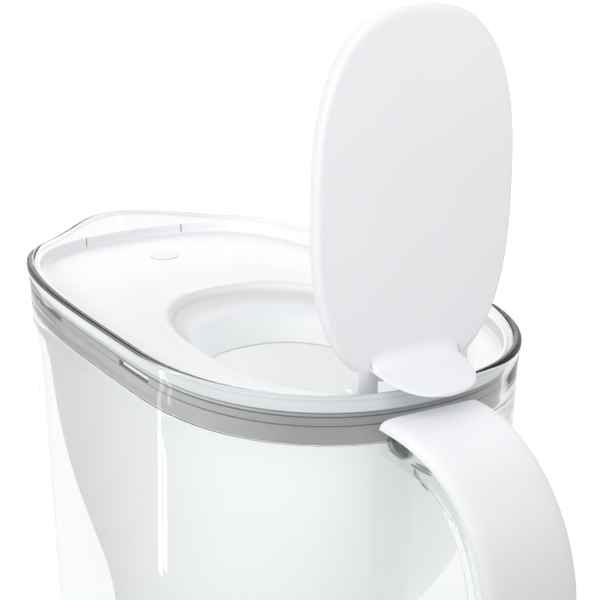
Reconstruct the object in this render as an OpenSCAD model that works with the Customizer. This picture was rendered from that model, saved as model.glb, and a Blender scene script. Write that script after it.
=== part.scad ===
// Water filter pitcher with a flip lid.
// A clear jug with a pouring beak carries a lift-out funnel. The funnel holds the filter
// cartridge and the recessed lid, and an oval flap is hinged at the rear of the lid.
// Origin: on the table, under the middle of the rim. +X to the handle, -X to the beak, +Z up.

/* [Rim outline] */
// Height of the rim above the table
rim_z = 256; // [230:1:280]
// Half the width of the rim line
rim_half_w = 54; // [50:0.5:58]
// Where the jug is widest
widest_x = 33; // [28:1:38]
// Length of the rim behind its widest place
rear_len = 63.5; // [60:0.5:66]
// Length of the rim before its widest place, without the beak
front_len = 113.5; // [108:0.5:118]
// Squareness of the rear end (2 is an ellipse)
rear_power = 2.27; // [2.1:0.01:2.6]
// Squareness of the front end
front_power = 3.84; // [3.2:0.01:4.2]

/* [Beak] */
// How far the beak reaches past the front of the rim
beak_len = 15.5; // [10:0.5:20]
// Half the width of the beak at its root
beak_half_w = 30.4; // [26:0.2:34]
// How far the tip of the beak rises
beak_rise = 1.5; // [0:0.1:3]
// How far down the jug the beak fades out
beak_drop = 78; // [60:1:110]

/* [Jug walls] */
// Thickness of the clear wall
wall = 2.2; // [1.8:0.1:2.4]
// Draft of the walls, in degrees
draft = 1.25; // [0.8:0.05:1.6]
// Thickness of the floor
floor_t = 3; // [2.5:0.1:5]
// How far the rim flares outwards
flare = 0.7; // [0:0.1:1]

/* [Handle] */
// Top of the handle, below the rim
handle_top = 6.5; // [6:0.1:8]
// Half the width of the handle at its roots
root_half_w = 15.8; // [14.5:0.1:16.5]
// Half the width of the grip
grip_half_w = 14; // [13:0.1:14.5]
// How far the grip stands out, from the table centre
grip_reach = 141; // [138:0.5:148]
// Height of the upper bend of the grip
grip_upper = 46; // [42:1:60]
// Height of the lower bend of the grip
grip_lower = 118; // [100:1:125]
// Depth of the handle, from its crown to its inner face
grip_depth = 12; // [10:0.5:13]

/* [Lid] */
// Deck of the lid, below the rim
deck_drop = 4.8; // [4:0.1:5.5]
// Height of the low wall round the deck
curb_h = 3.3; // [2.4:0.1:3.6]
// Thickness of the deck
deck_t = 1.6; // [1.4:0.1:1.8]
// Depth of the filling bowl, from the deck to its hole
bowl_depth = 14.7; // [12:0.1:16]

/* [Flap] */
// Half the length of the flap
flap_half_l = 47.7; // [47:0.1:48.5]
// Half the width of the flap
flap_half_w = 30; // [28:0.1:30.2]
// Squareness of the flap
flap_power = 2.63; // [2.3:0.01:2.8]
// Height of the flap's edge wall
flap_edge = 3.8; // [3:0.1:4]
// How far the face of the flap is domed
flap_dome = 1.6; // [1:0.1:2.2]
// Length of the thumb tab
tab_len = 15.7; // [12:0.1:17]
// Half the width of the thumb tab
tab_half_w = 14.6; // [13:0.1:15]

/* [Funnel and cartridge] */
// Depth of the cartridge seat below the rim
seat_drop = 138; // [132:1:142]
// Centre of the cartridge seat
seat_x = -15; // [-18:1:-10]
// Radius of the seat's bore
seat_r = 29.8; // [29.6:0.1:30]

/* [Indicator] */
// Where the indicator lies on the deck
indicator_x = -55.4; // [-57:0.1:-54]
// Radius of the indicator's button
button_r = 4.6; // [4:0.1:5]

/* [Hidden] */

ring_n = 72;        // points round a large ring
spread = 28;        // degrees by which the points crowd towards the beak
clear_gap = 0.3;    // between pieces that move past each other
eps = 0.01;

// Heights of the parts of the lid and the collar, below the rim
flange_drop = deck_drop + deck_t + 0.1;
collar_bottom = 14.3;
collar_in = 2.9;       // collar's distance inside the rim line
collar_t = 1.6;
skirt_bottom = 12.5;
curb_in = 2.6;
curb_t = 1;
lid_beak = 2.2;         // how far the curb bulges towards the beak

// Hinge of the flap
hinge_x = 84.8;
hinge_z = rim_z - 5.2;
face_x = 87;           // outer face of the open flap
flap_foot = rim_z - 1.5;
stub_r = 1.6;
stub_bore_r = 1.65;
barrel_half = 12.9;
ear_in = 13.2;
pocket_half = 18.8;
pocket_floor = rim_z - 11;

white = [0.93, 0.94, 0.95];
clear = [0.82, 0.88, 0.9, 0.35];

// ---------- outlines ----------

function sign_pow(v, p) = sign(v) * pow(abs(v), p);
function turn(i, n) = 360 * i / n;
// The i-th direction round the rim, crowded towards the beak at 180 degrees
function rim_angle(i, n) = turn(i, n) + spread * sin(turn(i, n));

// Superellipse seen from its widest place: different lengths and powers front and rear
function oval_point(a, cx, front, rear, half, pf, pr) =
    let (len = cos(a) > 0 ? rear : front,
         p = cos(a) > 0 ? pr : pf,
         r = 1 / pow(pow(abs(cos(a)) / len, p) + pow(abs(sin(a)) / half, p), 1 / p))
    [cx + r * cos(a), r * sin(a)];

function bump(y) = abs(y) < beak_half_w ? pow(cos(90 * y / beak_half_w), 2) : 0;

// A ring inside the rim line: z, inset from the rim line, length of the beak there
function rim_ring(z, inset, beak = 0, rise = 0, n = ring_n) =
    [for (i = [0 : n - 1])
        let (p = oval_point(rim_angle(i, n), widest_x, front_len - inset, rear_len - inset,
                            rim_half_w - inset, front_power, rear_power),
             b = p[0] < 0 ? bump(p[1]) : 0)
        [p[0] - beak * b, p[1], z + rise * b]];

function oval_ring(z, cx, front, rear, half, p, n = ring_n) =
    [for (i = [0 : n - 1])
        let (q = oval_point(rim_angle(i, n), cx, front, rear, half, p, p)) [q[0], q[1], z]];

function mix_ring(a, b, s) = [for (i = [0 : len(a) - 1]) a[i] * (1 - s) + b[i] * s];

// ---------- surfaces ----------

// Skin through a list of rings, closed by its first and last ring or into a loop. With strip, the ends
// are closed between the two halves of their rings, so that they may curve.
module loft(rings, loop = false, strip = false) {
    n = len(rings[0]);
    m = len(rings);
    last = loop ? m - 1 : m - 2;
    sides = [for (j = [0 : last]) for (i = [0 : n - 1])
        [j * n + i, ((j + 1) % m) * n + i, ((j + 1) % m) * n + (i + 1) % n, j * n + (i + 1) % n]];
    top = (m - 1) * n;
    flat_caps = [[for (i = [0 : n - 1]) i], [for (i = [n - 1 : -1 : 0]) top + i]];
    strip_caps = [for (k = [0 : n / 2 - 2]) each [
        [k, k + 1, n - 1 - k], [k + 1, n - 2 - k, n - 1 - k],
        [top + k + 1, top + k, top + n - 1 - k], [top + n - 2 - k, top + k + 1, top + n - 1 - k]]];
    caps = loop ? [] : strip ? strip_caps : flat_caps;
    polyhedron(points = [for (r = rings) for (p = r) p], faces = concat(sides, caps));
}

module ring_tube(outer, inner, z0, z1) {
    translate([0, 0, z0]) difference() {
        cylinder(r = outer, h = z1 - z0, $fn = 96);
        translate([0, 0, -1]) cylinder(r = inner, h = z1 - z0 + 2, $fn = 96);
    }
}

// ---------- jug ----------

function lean(h) = h * tan(draft);
function beak_at(h) = beak_len * pow(max(0, 1 - h / beak_drop), 1.5);
function rise_at(h) = beak_rise * max(0, 1 - h / 12);
function flare_at(h) = flare * max(0, 1 - h / 8);

jug_levels = [1, 4, 8, 14, 24, 38, 56, 78, 120, 180, rim_z - 8];
ledge_drop = collar_bottom + 0.1;
ledge_w = 1.7;

function jug_outer(h) = rim_ring(rim_z - h, lean(h) - flare_at(h), beak_at(h), rise_at(h));
function jug_inner(h, extra = 0) =
    rim_ring(rim_z - h, lean(h) + wall - 0.6 * flare_at(h) + extra, beak_at(h), rise_at(h));

module jug() {
    color(clear) loft(concat(
        [rim_ring(0, lean(rim_z) + 3.5), rim_ring(1.2, lean(rim_z) + 1.2),
         rim_ring(3.5, lean(rim_z) + 0.2)],
        [for (k = [len(jug_levels) - 1 : -1 : 0]) jug_outer(jug_levels[k])],
        [rim_ring(rim_z, 0, beak_len, beak_rise), rim_ring(rim_z, wall - 1.1, beak_len, beak_rise)],
        [for (h = [1, 4, 8, ledge_drop - eps]) jug_inner(h)],
        [jug_inner(ledge_drop, ledge_w), jug_inner(ledge_drop + 1.6, ledge_w),
         jug_inner(ledge_drop + 4)],
        [for (h = [38, 56, 78, 120, 180, rim_z - 10]) jug_inner(h)],
        [rim_ring(floor_t + 1.5, lean(rim_z) + wall + 1.4), rim_ring(floor_t, lean(rim_z) + wall + 4)]));
}

// ---------- handle ----------

grip_x = 97.2;
grip_z = rim_z - handle_top - grip_upper;
grip_r = grip_reach - grip_x;

// Crown of the handle: a squared arc above and a longer one below
function crown(a) =
    let (up = a > 0, b = up ? grip_upper : grip_lower, p = up ? 2.17 : 2.3,
         r = 1 / pow(pow(abs(cos(a)) / grip_r, p) + pow(abs(sin(a)) / b, p), 1 / p))
    [grip_x + r * cos(a), grip_z + r * sin(a)];

// Angles along the crown, even on the bends
crown_angles = [for (k = [-14 : 14]) sign_pow(k / 14, 0.85) * -90];

// Where the jug's rear wall stands at a given side distance and height
function rear_wall(y, z) =
    let (i = lean(rim_z - z))
    widest_x + (rear_len - i) * pow(1 - pow(abs(y) / (rim_half_w - i), rear_power), 1 / rear_power);

function crown_normal(a) =
    let (d = crown(min(a + 1, 90)) - crown(max(a - 1, -90)), l = norm(d)) [d[1] / l, -d[0] / l];

// Width of the handle as a share of its roots' width: it narrows within 21 mm of a root
function grip_share(c) =
    let (reach = min(norm(c - crown(90)), norm(c - crown(-90))))
    (grip_half_w + (root_half_w - grip_half_w) * exp(-pow(reach / 21, 2))) / root_half_w;

// Rings of a section [side, depth] swept along the crown and ended on the jug's wall
function grip_rings(section, into) =
    let (top = crown(90), bottom = crown(-90))
    concat(
        [[for (s = section) let (y = s[0], z = top[1] - s[1])
            [rear_wall(y, z) + into, y, z]]],
        [for (a = crown_angles) let (c = crown(a), n = crown_normal(a), k = grip_share(c))
            [for (s = section) [c[0] - n[0] * s[1], s[0] * k, c[1] - n[1] * s[1]]]],
        [[for (s = section) let (y = s[0], z = bottom[1] + s[1])
            [rear_wall(y, z) + into, y, z]]]);

function mirror_half(half) =
    concat([for (k = [len(half) - 1 : -1 : 0]) [-half[k][0], half[k][1]]],
           [for (p = half) if (p[0] > 0) p]);

g = root_half_w;
d = grip_depth;
cover_outside = mirror_half([
    [0, 0], [g * 0.4, 0.1], [g * 0.75, 0.5], [g - 1.3, 1.2], [g - 0.3, 2.1], [g, 3.2]]);
cover_inside = mirror_half([
    [0, 2.2], [g * 0.3, 2.25], [g * 0.55, 2.42], [g * 0.7, 2.62], [g * 0.8, 2.9], [g - 2, 3.2]]);
frame_outside = mirror_half([
    [0, d], [g * 0.6, d - 0.15], [g - 2, d - 1.1], [g - 0.7, d - 3], [g - 0.4, 3.4]]);
frame_inside = mirror_half([
    [0, d - 1.8], [g * 0.6, d - 1.95], [g - 3.4, d - 2.7], [g - 2.5, d - 4], [g - 2.2, 3.4]]);

function reversed(v) = [for (k = [len(v) - 1 : -1 : 0]) v[k]];

module handle_cover() {
    color(white) loft(grip_rings(concat(cover_inside, reversed(cover_outside)), 0.15), strip = true);
}

module handle_frame() {
    color(clear) loft(grip_rings(concat(frame_outside, reversed(frame_inside)), -0.8), strip = true);
}

// ---------- funnel ----------

funnel_wall = 1.8;
pocket_r = 36;
// Share of the way from the rim's outline to the seat's circle, at a depth below the rim
function funnel_mix(h) = pow(max(0, (h - 18) / (seat_drop - 18)), 1.9);
funnel_depths = [18, 31, 44, 58, 72, 86, 100, 114, 127, seat_drop];

function pocket_ring(z, r) = oval_ring(z, seat_x, r, r, r, 2);
function funnel_ring(h, thick) =
    mix_ring(rim_ring(rim_z - h, collar_in + collar_t + 0.2 + 0.03 * h + thick),
             pocket_ring(rim_z - h, pocket_r - thick), funnel_mix(h));

// Notches of the collar and the lid's lugs that drop into them: [middle, half length]
notches = [[-34, 6], [27, 8.8]];
notch_drop = 9.1;

module notch_boxes(gap, low) {
    for (q = notches) for (s = [-1, 1])
        translate([q[0] - q[1] + gap, s * 51 - 4, rim_z - low]) cube([2 * (q[1] - gap), 8, 20]);
}

module funnel() {
    inner_in = collar_in + collar_t;
    color([0.95, 0.96, 0.97, 0.8]) difference() {
        loft(loop = true, rings = concat(
            [rim_ring(rim_z - flange_drop, collar_in), rim_ring(rim_z - flange_drop, inner_in)],
            [rim_ring(rim_z - collar_bottom, inner_in)],
            [for (h = funnel_depths) funnel_ring(h, funnel_wall)],
            [pocket_ring(rim_z - seat_drop - eps, seat_r - 3), pocket_ring(rim_z - seat_drop - 3, seat_r - 3),
             pocket_ring(rim_z - seat_drop - 3, pocket_r)],
            [for (k = [len(funnel_depths) - 1 : -1 : 0]) funnel_ring(funnel_depths[k], 0)],
            [rim_ring(rim_z - collar_bottom, inner_in + 0.1), rim_ring(rim_z - collar_bottom, collar_in)]));
        translate([seat_x, 0, rim_z - seat_drop - 10]) cylinder(r = seat_r, h = 20, $fn = 96);
        notch_boxes(0, notch_drop);
    }
}

// ---------- lid ----------

// The filling bowl: [drop below the rim, centre, front, rear, half width]
bowl_hole = deck_drop + bowl_depth;
bowl_power = 2.45;
bowl_levels = [
    [deck_drop, 34, 50.8, 49.5, 33],
    [deck_drop + 0.4, 34, 50, 49, 32.2],
    [deck_drop + 1.4, 34.5, 49.7, 48, 31.5],
    [deck_drop + 2.6, 35.5, 49.7, 46, 30.8],
    [deck_drop + 3.7, 38.5, 48, 41.5, 29],
    [deck_drop + 4.8, 41.5, 44.5, 37, 27.7],
    [deck_drop + 7.2, 42, 43.6, 35.5, 27.2],
    [bowl_hole, 42, 42.6, 34.5, 26.8]];

function bowl_ring(b, out, down) =
    oval_ring(rim_z - b[0] - down, b[1], b[2] + out, b[3] + out, b[4] + out, bowl_power);

function curb_ring(up, inside) = rim_ring(rim_z - deck_drop + up, curb_in + inside, lid_beak);

module lid_shell() {
    m = len(bowl_levels) - 1;
    skirt_in = collar_in + collar_t + 0.3;
    loft(loop = true, rings = reversed(concat(
        [for (k = [m : -1 : 0]) bowl_ring(bowl_levels[k], 0, 0)],
        [curb_ring(0, curb_t + 0.4), curb_ring(0.4, curb_t), curb_ring(curb_h, curb_t - 0.2),
         curb_ring(curb_h, 0.2), curb_ring(curb_h - 0.3, 0), curb_ring(-deck_t, 0),
         rim_ring(rim_z - deck_drop - deck_t, skirt_in),
         rim_ring(rim_z - skirt_bottom, skirt_in),
         rim_ring(rim_z - skirt_bottom, skirt_in + 1.2),
         rim_ring(rim_z - deck_drop - deck_t + eps, skirt_in + 1.2)],
        [for (k = [1 : m - 1]) bowl_ring(bowl_levels[k], deck_t, deck_t)],
        [bowl_ring(bowl_levels[m], deck_t, 0), bowl_ring(bowl_levels[m], deck_t - 0.4, 0.6)])));
}

// Fine slits that part the curb either side of the beak and at the front shoulders
slits = [[-77.2, 17.8, 90], [-60.1, 43.8, 38]];

module hinge_ear() {
    translate([hinge_x, ear_in, hinge_z]) rotate([-90, 0, 0])
        cylinder(r = 3.3, h = pocket_half - ear_in + 0.5, $fn = 48);
    translate([hinge_x - 3.3, ear_in, pocket_floor - 0.5])
        cube([6.6, pocket_half - ear_in + 0.5, hinge_z - pocket_floor + 0.5]);
}

module lid_deck() {
    color(white) difference() {
        union() {
            difference() {
                union() {
                    lid_shell();
                    translate([78.3, -pocket_half - 1.5, pocket_floor - 1.5])
                        cube([8.5, 2 * pocket_half + 3, rim_z - deck_drop - 0.8 - pocket_floor + 1.5]);
                    translate([indicator_x, 0, rim_z - 8.6])
                        cylinder(r = 17, h = 8.6 - deck_drop - 0.8, $fn = 96);
                }
                translate([70, -pocket_half, pocket_floor]) cube([19.6, 2 * pocket_half, 30]);
            }
            hinge_ear();
            mirror([0, 1, 0]) hinge_ear();
            intersection() {
                notch_boxes(0.4, notch_drop - 0.4);
                translate([0, 0, rim_z - 12]) linear_extrude(12 - deck_drop - 0.4)
                    polygon([for (p = rim_ring(0, collar_in + 0.3)) [p[0], p[1]]]);
            }
        }
        translate([hinge_x, -17.6, hinge_z]) rotate([-90, 0, 0])
            cylinder(r = stub_bore_r, h = 35.2, $fn = 48);
        translate([indicator_x, 0, rim_z - 12]) cylinder(r = button_r + clear_gap, h = 20, $fn = 64);
        translate([indicator_x, 0, rim_z - 12]) cylinder(r = 15.2, h = 12 - deck_drop - deck_t, $fn = 96);
        for (q = slits) for (s = [-1, 1])
            translate([q[0], s * q[1], rim_z - deck_drop + 0.5]) rotate([0, 0, s * q[2]])
                translate([-0.25, -3, 0]) cube([0.5, 6, 6]);
    }
}

// ---------- flap ----------

// A ring of the open flap: share of its outline, and how far behind its outer face it lies
function flap_ring(share, depth) =
    [for (i = [0 : 47])
        let (q = oval_point(turn(i, 48), 0, flap_half_l * share, flap_half_l * share,
                            flap_half_w * share, flap_power, flap_power))
        [face_x - depth, q[1], flap_foot + flap_half_l + q[0]]];
function dome_at(share) = flap_dome * (1 - share * share);

// Underside of the thumb tab: it leaves the face and droops over the rim
function tab_drop(u) = 5.3 * pow(max(0, u), 1.5);
tab_root = rim_z + 4.3;
tab_t = 2;

function tab_ring(k) =
    let (u = k / 10, half = tab_half_w * pow(1 - pow(min(u, 0.995), 2.37), 1 / 2.37),
         x = face_x - 0.6 + tab_len * u, z = tab_root - tab_drop(u))
    [for (p = [[-1, 0.5], [-0.97, 0.1], [-0.8, 0], [0, -0.1], [0.8, 0], [0.97, 0.1], [1, 0.5],
               [0.95, 0.95], [0.7, 1], [0, 1], [-0.7, 1], [-0.95, 0.95]])
        [x, p[0] * half, z + p[1] * tab_t]];

module flap() {
    color(white) {
        loft([
            for (s = [0.02, 0.3, 0.55, 0.75, 0.9]) flap_ring(s, -dome_at(s)),
            flap_ring(0.965, 0.1 - dome_at(0.965)), flap_ring(0.99, 0.35), flap_ring(1, 0.9),
            flap_ring(1, flap_edge - 0.3), flap_ring(0.99, flap_edge), flap_ring(0.96, flap_edge),
            for (s = [0.945, 0.75, 0.5, 0.25, 0.02]) flap_ring(s, 2 - dome_at(s))]);
        loft([for (k = [0 : 10]) tab_ring(k)]);
        translate([face_x - flap_edge, -barrel_half, hinge_z])
            cube([flap_edge - 0.3, 2 * barrel_half, flap_foot + 4 - hinge_z]);
        translate([hinge_x, -barrel_half, hinge_z]) rotate([-90, 0, 0])
            cylinder(r = 2.6, h = 2 * barrel_half, $fn = 48);
        translate([hinge_x, -17.2, hinge_z]) rotate([-90, 0, 0])
            cylinder(r = stub_r, h = 34.4, $fn = 48);
    }
}

// ---------- change indicator ----------

pod_top = rim_z - deck_drop - deck_t - 0.1;
pod_bottom = pod_top - 12;
board_z = pod_top - 5;
screw_ring = 10;
screw_angles = [30, 150, 270];

module at_indicator() { translate([indicator_x, 0, 0]) children(); }

module indicator_button() {
    color([0.9, 0.95, 0.95]) at_indicator() {
        translate([0, 0, rim_z - deck_drop + 0.2 - 3]) cylinder(r = button_r, h = 3, $fn = 64);
        translate([0, 0, rim_z - deck_drop - 2.8]) cylinder(r = button_r + 1.2, h = 0.9, $fn = 64);
    }
}

module indicator_housing() {
    color([0.85, 0.86, 0.88]) at_indicator() {
        ring_tube(15, 13.6, pod_bottom, pod_top);
        ring_tube(13.8, button_r + 1.7, pod_top - 1.6, pod_top);
        for (a = screw_angles) rotate([0, 0, a]) translate([screw_ring, 0, pod_bottom + 1.8]) difference() {
            union() {
                cylinder(r = 1.8, h = 4.1, $fn = 32);
                translate([0, -0.7, 0]) cube([3.9, 1.4, 4.1]);
            }
            translate([0, 0, -1]) cylinder(r = 0.9, h = 4.5, $fn = 32);
        }
    }
}

module key_dome() {
    color([0.25, 0.26, 0.28]) at_indicator() {
        translate([0, 0, board_z + 1.9]) cylinder(r = 3.4, h = 0.8, $fn = 48);
        ring_tube(9, 3, board_z + 1.4, board_z + 1.95);
        ring_tube(9.5, 8, board_z + 0.05, board_z + 1.45);
    }
}

module circuit_board() {
    color([0.1, 0.4, 0.22]) at_indicator() translate([0, 0, board_z - 1])
        difference() {
            cylinder(r = 13.2, h = 1, $fn = 96);
            for (a = screw_angles) rotate([0, 0, a]) translate([12.4, 0, -1])
                cylinder(r = 1.8, h = 3, $fn = 32);
        }
}

module tact_switch() {
    color([0.2, 0.2, 0.22]) at_indicator() {
        translate([-1.8, -1.8, board_z + 0.02]) cube([3.6, 3.6, 1]);
        translate([0, 0, board_z + 1]) cylinder(r = 0.8, h = 0.6, $fn = 24);
    }
}

module led() {
    color([0.95, 0.98, 0.95]) at_indicator() {
        translate([3, -0.8, board_z + 0.02]) cube([1.6, 1.6, 0.7]);
        translate([3.8, 0, board_z + 0.6]) cylinder(r = 0.6, h = 0.4, $fn = 24);
    }
}

module coin_cell() {
    color("silver") at_indicator() {
        translate([0, 0, board_z - 4.9]) cylinder(r = 8, h = 2.7, $fn = 96);
        translate([0, 0, board_z - 2.25]) cylinder(r = 6.8, h = 0.5, $fn = 96);
    }
}

module cell_clip() {
    color("gold") at_indicator() {
        translate([-8.8, -2, board_z - 5.4]) cube([17.6, 4, 0.4]);
        for (s = [-1, 1]) translate([s * 8.6 - 0.2, -2, board_z - 5.4]) cube([0.4, 4, 4.35]);
    }
}

module housing_cover() {
    color([0.85, 0.86, 0.88]) at_indicator() difference() {
        translate([0, 0, pod_bottom]) cylinder(r = 13.4, h = 1.5, $fn = 96);
        ring_tube(12.6, 11.9, pod_bottom + 0.9, pod_bottom + 3);
        for (a = screw_angles) rotate([0, 0, a])
            translate([screw_ring, 0, pod_bottom - 1]) cylinder(r = 1.2, h = 4, $fn = 32);
    }
}

module housing_seal() {
    color([0.2, 0.2, 0.22]) at_indicator() ring_tube(12.5, 12, pod_bottom + 0.95, pod_bottom + 1.75);
}

module housing_screws() {
    color("silver") at_indicator() for (a = screw_angles) rotate([0, 0, a]) translate([screw_ring, 0, 0]) {
        translate([0, 0, pod_bottom - 0.7]) cylinder(r = 1.8, h = 0.65, $fn = 32);
        translate([0, 0, pod_bottom - 0.1]) cylinder(r = 0.8, h = 5, $fn = 32);
    }
}

// ---------- filter cartridge ----------

seat_z = rim_z - seat_drop;
shell_bottom = seat_z - 66;
shell_top = seat_z + 28;
body_r = seat_r - 0.5;
head_r = 28.5;
shell_t = 1.5;

module at_seat() { translate([seat_x, 0, 0]) children(); }

module cartridge_shell() {
    color([0.94, 0.95, 0.96]) at_seat() difference() {
        rotate_extrude($fn = 96) polygon([
            [0, shell_bottom], [body_r - 2.5, shell_bottom], [body_r - 0.8, shell_bottom + 1.4],
            [body_r, seat_z - 6], [body_r, seat_z + 1.5], [32.6, seat_z + 1.5], [32.6, seat_z + 3.6],
            [head_r, seat_z + 4], [head_r, shell_top], [head_r - shell_t, shell_top],
            [head_r - shell_t, seat_z + 3], [body_r - shell_t - 0.8, seat_z - 4],
            [body_r - shell_t - 1.6, shell_bottom + shell_t], [0, shell_bottom + shell_t]]);
        for (a = [0 : 30 : 330]) rotate([0, 0, a]) translate([19, 0, shell_bottom - 1])
            cylinder(r = 2, h = 4, $fn = 24);
        for (a = [0 : 60 : 300]) rotate([0, 0, a]) translate([9, 0, shell_bottom - 1])
            cylinder(r = 2, h = 4, $fn = 24);
    }
}

module cartridge_cap() {
    cap_r = head_r + 1.2;
    color([0.94, 0.95, 0.96]) at_seat() difference() {
        union() {
            rotate_extrude($fn = 96) polygon([
                [0, shell_top + 7], [12, shell_top + 6.4], [22, shell_top + 4.4], [cap_r - 1, shell_top + 1.6],
                [cap_r, shell_top + 0.4], [cap_r, shell_top - 4], [head_r + 0.1, shell_top - 4],
                [head_r + 0.1, shell_top + 0.1], [22, shell_top + 2.8], [12, shell_top + 4.8], [0, shell_top + 5.4]]);
            translate([-11, -1.4, shell_top + 5]) cube([22, 2.8, 7]);
        }
        for (a = [15 : 30 : 345]) rotate([0, 0, a]) translate([15, -0.8, shell_top]) cube([9, 1.6, 10]);
    }
}

module cartridge_seal() { color([0.35, 0.36, 0.38]) at_seat() ring_tube(33, body_r + 0.1, seat_z + 0.05, seat_z + 1.45); }

module media_bed() {
    color([0.16, 0.15, 0.14]) at_seat() rotate_extrude($fn = 96) polygon([
        [0, shell_bottom + 3], [body_r - 3.4, shell_bottom + 3], [body_r - 2.6, seat_z - 5],
        [body_r - 2.6, seat_z], [0, seat_z]]);
}

module screen(r, z) {
    translate([0, 0, z]) difference() {
        cylinder(r = r, h = 0.8, $fn = 96);
        for (q = [0 : 2]) for (a = [0 : 360 / (6 + 6 * q) : 359])
            rotate([0, 0, a]) translate([6 + 7 * q, 0, -1]) cylinder(r = 1.6, h = 3, $fn = 16);
    }
}

module upper_screen() { color([0.75, 0.78, 0.8]) at_seat() screen(body_r - 3.4, seat_z + 0.3); }
module lower_screen() { color([0.75, 0.78, 0.8]) at_seat() screen(body_r - 3.5, shell_bottom + 1.8); }

jug();
handle_frame();
handle_cover();
funnel();
lid_deck();
flap();
indicator_button();
indicator_housing();
key_dome();
circuit_board();
tact_switch();
led();
coin_cell();
cell_clip();
housing_cover();
housing_seal();
housing_screws();
cartridge_shell();
cartridge_cap();
cartridge_seal();
media_bed();
upper_screen();
lower_screen();
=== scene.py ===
import math

import bpy
import numpy as np
from mathutils import Matrix, Vector


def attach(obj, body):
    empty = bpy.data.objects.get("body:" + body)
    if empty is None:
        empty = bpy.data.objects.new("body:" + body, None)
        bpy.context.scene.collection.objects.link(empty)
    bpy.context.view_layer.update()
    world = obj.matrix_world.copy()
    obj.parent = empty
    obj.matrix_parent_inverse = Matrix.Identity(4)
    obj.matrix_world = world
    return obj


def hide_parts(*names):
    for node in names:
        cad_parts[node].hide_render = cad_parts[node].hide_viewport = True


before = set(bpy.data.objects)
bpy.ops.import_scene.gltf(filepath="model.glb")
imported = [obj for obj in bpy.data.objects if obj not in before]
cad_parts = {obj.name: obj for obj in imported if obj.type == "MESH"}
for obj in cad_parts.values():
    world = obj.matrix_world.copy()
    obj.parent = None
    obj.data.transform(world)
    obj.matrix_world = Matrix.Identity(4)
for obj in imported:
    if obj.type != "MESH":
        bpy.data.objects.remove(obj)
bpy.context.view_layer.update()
print("frame loaded, building the water filter pitcher")

# Outline shared by the jug, the funnel's collar and the lid. Lengths are in metres here and below, +X
# points to the handle, -X to the beak and -Y to the near side
rim = {
    "height": 0.256, "halfWidth": 0.054, "widestX": 0.033,
    "rear": 0.0635, "front": 0.1135, "rearPower": 2.27, "frontPower": 3.84,
    "crowding": math.radians(28),
    "beak": 0.0155, "beakHalf": 0.0345, "beakRise": 0.0015, "beakDrop": 0.078,
    "draft": math.tan(math.radians(1.25)),
}


# Even directions round a circle
def evenAngles(count):
    return np.arange(count) * 2 * math.pi / count


# Superellipse in polar form: r = (|cos a / length|^p + |sin a / half|^p)^(-1/p)
def ovalRadius(c, s, length, half, power):
    return (np.abs(c / length) ** power + np.abs(s / half) ** power) ** (-1 / power)


# Directions round a ring, crowded towards the beak: a = t + crowding * sin(t)
def ringAngles(count):
    t = evenAngles(count)
    return t + rim["crowding"] * np.sin(t)


# Superellipse about its widest place, with a length and a power of its own before and behind it
def oval(angles, centre, front, rear, half, frontPower, rearPower):
    c, s = np.cos(angles), np.sin(angles)
    r = ovalRadius(c, s, np.where(c > 0, rear, front), half, np.where(c > 0, rearPower, frontPower))
    return np.stack([centre + r * c, r * s], axis=-1)


# cos^2 bump across the beak's width, only on the front half
def beakBump(xy):
    y = np.clip(xy[:, 1] / rim["beakHalf"], -1, 1)
    return np.where(xy[:, 0] < 0, np.cos(y * math.pi / 2) ** 2, 0)


# Ring inside the rim line at a height: inset all round, then pulled out along -X by beak * bump
def rimRing(z, inset, beak=0.0, rise=0.0, count=240):
    xy = oval(ringAngles(count), rim["widestX"], rim["front"] - inset, rim["rear"] - inset,
              rim["halfWidth"] - inset, rim["frontPower"], rim["rearPower"])
    b = beakBump(xy)
    return np.column_stack([xy[:, 0] - beak * b, xy[:, 1], z + rise * b])


# Level superellipse of one power at a height; a circle is the one of power 2
def ovalRing(z, centre, front, rear, half, power, count=240):
    xy = oval(ringAngles(count), centre, front, rear, half, power, power)
    return np.column_stack([xy, np.full(count, z)])


# Skin over a grid of points (rings, points per ring, 3): quads between neighbours, round each ring,
# and either on from the last ring to the first or closed at both ends by fans about their middles.
# The UV map holds the share of the way round and the ring's own value in v
def ringSkin(rings, values=None, loop=False):
    rings = np.asarray(rings, dtype=float)
    m, n, _ = rings.shape
    values = np.linspace(0, 1, m) if values is None else np.asarray(values, dtype=float)
    i = np.arange(n)
    j = np.arange(m if loop else m - 1)
    here, there, after = j[:, None] * n, ((j[:, None] + 1) % m) * n, (i + 1) % n
    quads = np.stack([here + i, there + i, there + after, here + after], axis=-1).reshape(-1, 4)
    u = np.tile(i / n, len(j))
    v0, v1 = np.repeat(values[j], n), np.repeat(values[(j + 1) % m], n)
    uv = np.stack([u, v0, u, v1, u + 1 / n, v1, u + 1 / n, v0], axis=1).reshape(-1, 2)
    points = rings.reshape(-1, 3)
    faces = quads.tolist()
    if not loop:
        points = np.vstack([points, rings[0].mean(0), rings[-1].mean(0)])
        for end, base, value in ((m * n, 0, values[0]), (m * n + 1, (m - 1) * n, values[-1])):
            fan = np.column_stack([np.full(n, end), base + i, base + after])
            faces += (fan if base == 0 else fan[:, ::-1]).tolist()
            uv = np.vstack([uv, np.stack([np.repeat(i / n, 3), np.full(3 * n, value)], 1)])
    return points, faces, uv


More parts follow.
